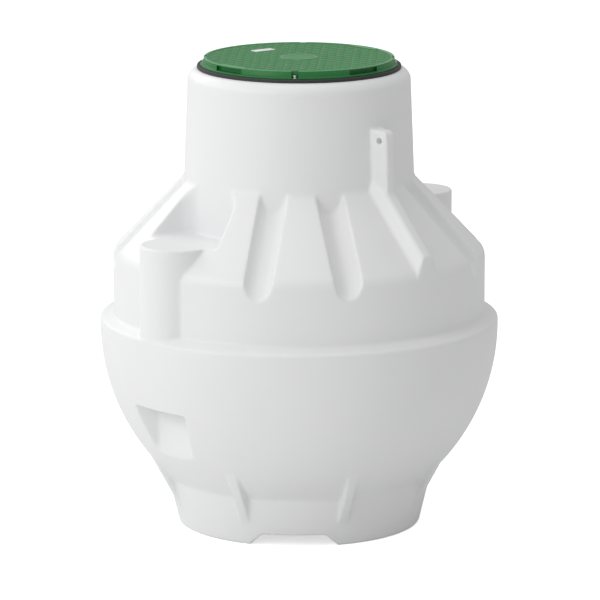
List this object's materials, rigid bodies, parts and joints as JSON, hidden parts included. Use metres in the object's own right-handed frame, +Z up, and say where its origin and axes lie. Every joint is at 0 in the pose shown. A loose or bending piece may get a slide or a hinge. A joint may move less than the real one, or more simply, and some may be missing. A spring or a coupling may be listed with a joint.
{
  "type": "storage tank",
  "caption": "Hollow moulded underground storage tank with a footed bowl, a rim, a fluted shoulder with pipe recesses, lifting ribs and a neck under a screwed round cover.",
  "frame": {"origin": "centre of the foot on the ground, on the axis of the tank", "axes": "+Z up along the axis, -Y towards the front, where the channel under the foot opens, +X to the right"},
  "size_m": [1.906, 1.9056, 2.25],
  "materials": {
    "polyethylene": "smooth white moulded plastic with a soft sheen",
    "cover_plastic": "green moulded plastic with a fine tread pattern",
    "seal_rubber": "black dull rubber",
    "screw_steel": "plain stainless steel",
    "insert_brass": "turned brass"
  },
  "bodies": {
    "tank": {"foot": "polyethylene", "bowl": "polyethylene", "gussets": "polyethylene", "rim": "polyethylene", "shoulder": "polyethylene", "neck": "polyethylene", "collar": "polyethylene", "outlet_boss": "polyethylene", "inlet_boss": "polyethylene", "lifting_rib_right": "polyethylene", "lifting_rib_left": "polyethylene", "insert_front": "insert_brass", "insert_right": "insert_brass", "insert_back": "insert_brass", "insert_left": "insert_brass", "seal": "seal_rubber"},
    "cover": {"cover": "cover_plastic", "screw_front": "screw_steel", "screw_right": "screw_steel", "screw_back": "screw_steel", "screw_left": "screw_steel"}
  },
  "joints": [
    {"name": "cover_lift", "type": "slide", "parent": "tank", "child": "cover", "axis": [0, 0, 1], "range_m": [0, 0.6]}
  ]
}
